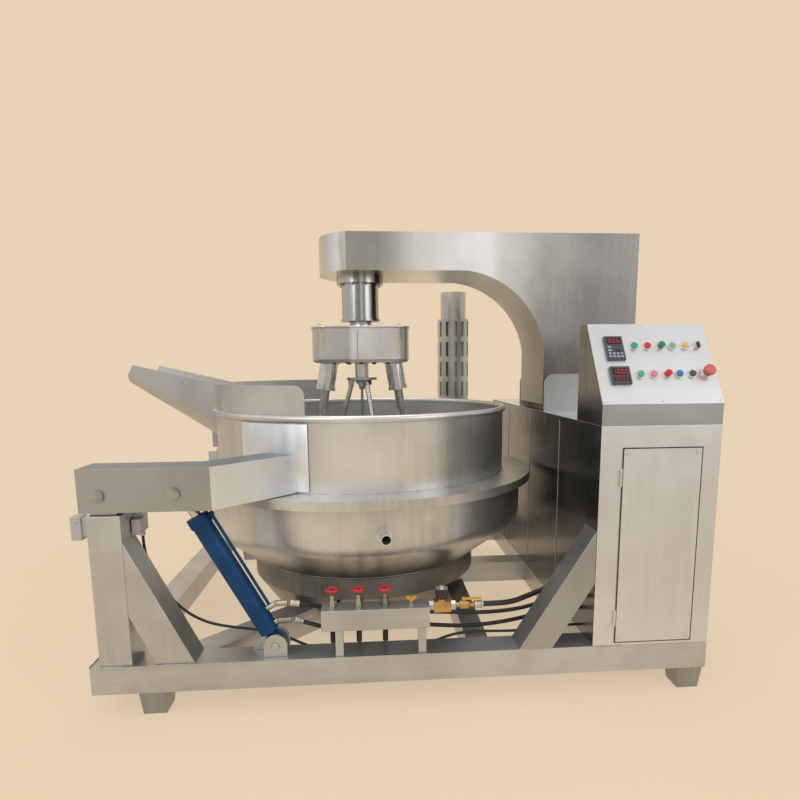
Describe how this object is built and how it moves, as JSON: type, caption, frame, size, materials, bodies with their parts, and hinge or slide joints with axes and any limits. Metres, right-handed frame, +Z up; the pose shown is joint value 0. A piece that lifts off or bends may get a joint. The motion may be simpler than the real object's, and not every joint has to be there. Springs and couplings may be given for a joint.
{
  "type": "steam jacketed kettle",
  "caption": "Tilting jacketed cooking kettle on a box-tube base, with gas burner, twin hydraulic cylinders, gooseneck planetary stirrer and control cabinet.",
  "frame": {"origin": "on the floor under the kettle's vertical axis", "axes": "+Z up, +X from the kettle to the control cabinet, +Y away from the operator's side"},
  "size_m": [2.1, 1.618, 1.623],
  "materials": {
    "frame_steel": "brushed stainless tube",
    "cabinet_steel": "brushed stainless sheet",
    "panel_steel": "bright brushed face plate",
    "kettle_steel": "polished stainless shell",
    "jacket_steel": "heat-dulled stainless",
    "beam_steel": "brushed stainless box beam",
    "polished_steel": "polished bar",
    "head_steel": "brushed stainless casting cover",
    "arm_paint": "red-brown primer",
    "drive_paint": "grey paint",
    "burner_iron": "cast iron",
    "cylinder_paint": "blue enamel",
    "fitting_metal": "zinc plated",
    "hose_rubber": "black rubber",
    "wheel_red": "red enamel",
    "cock_yellow": "yellow coating",
    "valve_brass": "cast brass",
    "instrument_black": "black instrument case",
    "bezel_metal": "metal bezel",
    "button_teal": "teal cap",
    "button_red": "red cap",
    "button_green": "green cap",
    "button_pink": "pink cap",
    "button_blue": "blue cap",
    "button_grey": "dark grey cap",
    "lamp_lens": "lamp lens"
  },
  "bodies": {
    "machine_frame": {"base_frame": "frame_steel", "base_feet": "frame_steel", "side_stands": "frame_steel", "cabinet_braces": "frame_steel", "limit_switch": "frame_steel", "cylinder_mounts": "frame_steel", "furnace_shell": "jacket_steel", "burner_ring": "burner_iron", "chimney_flue": "jacket_steel", "chimney_guard": "jacket_steel", "gas_manifold": "frame_steel", "gas_valves": "fitting_metal", "solenoid_valve": "valve_brass", "cabinet_body": "cabinet_steel", "cabinet_front_panel": "cabinet_steel", "panel_screws": "polished_steel", "console_housing": "cabinet_steel", "console_panel": "panel_steel", "console_instruments": "instrument_black", "button_bezels": "bezel_metal", "indicator_lamps": "lamp_lens", "arm_cheeks": "cabinet_steel", "hydraulic_hose_high": "hose_rubber", "hydraulic_hose_low": "hose_rubber", "gas_hose": "hose_rubber", "switch_cable": "hose_rubber"},
    "kettle": {"kettle_bowl": "kettle_steel", "kettle_jacket": "jacket_steel", "pouring_spout": "kettle_steel", "splash_guards": "kettle_steel", "drain_port": "kettle_steel", "tilt_beams": "beam_steel", "tilt_pins": "polished_steel"},
    "cylinders": {"cylinder_barrels": "cylinder_paint", "cylinder_fittings": "fitting_metal"},
    "piston_rods": {"cylinder_rods": "polished_steel"},
    "arm": {"arm_housing": "cabinet_steel", "arm_frame": "arm_paint", "stirrer_drive": "drive_paint", "drive_column": "polished_steel"},
    "planet_head": {"head_housing": "head_steel", "head_legs": "polished_steel", "wall_scraper": "polished_steel"},
    "side_stirrer_body": {"side_stirrer": "polished_steel"},
    "centre_whisk_body": {"centre_whisk": "polished_steel"},
    "wheel_left": {"handwheel_left": "wheel_red"},
    "wheel_middle": {"handwheel_middle": "wheel_red"},
    "wheel_right": {"handwheel_right": "wheel_red"},
    "pilot_wing": {"pilot_cock_wing": "cock_yellow"},
    "main_lever": {"main_cock_lever": "cock_yellow"},
    "stirrer_start_button_cap": {"stirrer_start_button": "button_teal"},
    "stirrer_stop_button_cap": {"stirrer_stop_button": "button_red"},
    "arm_up_button_cap": {"arm_up_button": "button_green"},
    "tilt_up_button_cap": {"tilt_up_button": "button_teal"},
    "tilt_down_button_cap": {"tilt_down_button": "button_pink"},
    "burner_stop_button_cap": {"burner_stop_button": "button_red"},
    "arm_down_button_cap": {"arm_down_button": "button_blue"},
    "reset_button_cap": {"reset_button": "button_grey"},
    "selector_knob": {"selector_switch": "button_grey"},
    "stop_mushroom": {"emergency_stop": "button_red"}
  },
  "joints": [
    {"name": "kettle_tilt", "type": "hinge", "parent": "machine_frame", "child": "kettle", "pos_m": [-0.781, 0, 0.721], "axis": [0, -1, 0], "range_deg": [0, 32]},
    {"name": "arm_tilt", "type": "hinge", "parent": "machine_frame", "child": "arm", "pos_m": [1.074, 0, 0.985], "axis": [0, 1, 0], "range_deg": [0, 80]},
    {"name": "cylinder_swing", "type": "hinge", "parent": "machine_frame", "child": "cylinders", "pos_m": [-0.285, 0, 0.208], "axis": [0, 1, 0], "range_deg": [0, 3]},
    {"name": "rod_slide", "type": "slide", "parent": "cylinders", "child": "piston_rods", "axis": [-0.471, 0, 0.8821], "range_m": [0, 0.13]},
    {"name": "head_spin", "type": "hinge", "parent": "arm", "child": "planet_head", "pos_m": [0, 0, 1.289], "axis": [0, 0, 1], "continuous": true},
    {"name": "side_stirrer_spin", "type": "hinge", "parent": "planet_head", "child": "side_stirrer_body", "pos_m": [0.14, 0, 1.115], "axis": [0.1564, 0, -0.9877], "continuous": true},
    {"name": "centre_whisk_spin", "type": "hinge", "parent": "planet_head", "child": "centre_whisk_body", "pos_m": [0, 0, 1.053], "axis": [0, 0, 1], "continuous": true},
    {"name": "handwheel_left_turn", "type": "hinge", "parent": "machine_frame", "child": "wheel_left", "pos_m": [-0.101, -0.756, 0.384], "axis": [0, 0, 1], "range_deg": [0, 540]},
    {"name": "handwheel_middle_turn", "type": "hinge", "parent": "machine_frame", "child": "wheel_middle", "pos_m": [-0.016, -0.756, 0.384], "axis": [0, 0, 1], "range_deg": [0, 540]},
    {"name": "handwheel_right_turn", "type": "hinge", "parent": "machine_frame", "child": "wheel_right", "pos_m": [0.07, -0.756, 0.384], "axis": [0, 0, 1], "range_deg": [0, 540]},
    {"name": "pilot_cock_turn", "type": "hinge", "parent": "machine_frame", "child": "pilot_wing", "pos_m": [0.156, -0.756, 0.341], "axis": [0, 0, 1], "range_deg": [0, 90]},
    {"name": "main_cock_turn", "type": "hinge", "parent": "machine_frame", "child": "main_lever", "pos_m": [0.33, -0.756, 0.338], "axis": [0, 0, 1], "range_deg": [0, 90]},
    {"name": "stirrer_start_button_press", "type": "slide", "parent": "machine_frame", "child": "stirrer_start_button_cap", "axis": [0, 0.8525, -0.5228], "range_m": [0, 0.004], "stiffness_N_per_m": 300, "springref_m": -0.003},
    {"name": "stirrer_stop_button_press", "type": "slide", "parent": "machine_frame", "child": "stirrer_stop_button_cap", "axis": [0, 0.8525, -0.5228], "range_m": [0, 0.004], "stiffness_N_per_m": 300, "springref_m": -0.003},
    {"name": "arm_up_button_press", "type": "slide", "parent": "machine_frame", "child": "arm_up_button_cap", "axis": [0, 0.8525, -0.5228], "range_m": [0, 0.004], "stiffness_N_per_m": 300, "springref_m": -0.003},
    {"name": "tilt_up_button_press", "type": "slide", "parent": "machine_frame", "child": "tilt_up_button_cap", "axis": [0, 0.8525, -0.5228], "range_m": [0, 0.004], "stiffness_N_per_m": 300, "springref_m": -0.003},
    {"name": "tilt_down_button_press", "type": "slide", "parent": "machine_frame", "child": "tilt_down_button_cap", "axis": [0, 0.8525, -0.5228], "range_m": [0, 0.004], "stiffness_N_per_m": 300, "springref_m": -0.003},
    {"name": "burner_stop_button_press", "type": "slide", "parent": "machine_frame", "child": "burner_stop_button_cap", "axis": [0, 0.8525, -0.5228], "range_m": [0, 0.004], "stiffness_N_per_m": 300, "springref_m": -0.003},
    {"name": "arm_down_button_press", "type": "slide", "parent": "machine_frame", "child": "arm_down_button_cap", "axis": [0, 0.8525, -0.5228], "range_m": [0, 0.004], "stiffness_N_per_m": 300, "springref_m": -0.003},
    {"name": "reset_button_press", "type": "slide", "parent": "machine_frame", "child": "reset_button_cap", "axis": [0, 0.8525, -0.5228], "range_m": [0, 0.004], "stiffness_N_per_m": 300, "springref_m": -0.003},
    {"name": "selector_turn", "type": "hinge", "parent": "machine_frame", "child": "selector_knob", "pos_m": [1.109, -0.68669, 1.15187], "axis": [0, -0.8525, 0.5228], "range_deg": [-45, 45]},
    {"name": "emergency_stop_press", "type": "slide", "parent": "machine_frame", "child": "stop_mushroom", "axis": [0, 0.8525, -0.5228], "range_m": [0, 0.006], "stiffness_N_per_m": 500, "springref_m": -0.003}
  ],
  "couplings": [
    {"joint": "arm_tilt", "follows": "kettle_tilt", "ratio": 2.5},
    {"joint": "cylinder_swing", "follows": "kettle_tilt", "ratio": 0.079},
    {"joint": "rod_slide", "follows": "kettle_tilt", "m_per_rad": 0.2115},
    {"joint": "side_stirrer_spin", "follows": "head_spin", "ratio": -3},
    {"joint": "centre_whisk_spin", "follows": "head_spin", "ratio": -2}
  ]
}
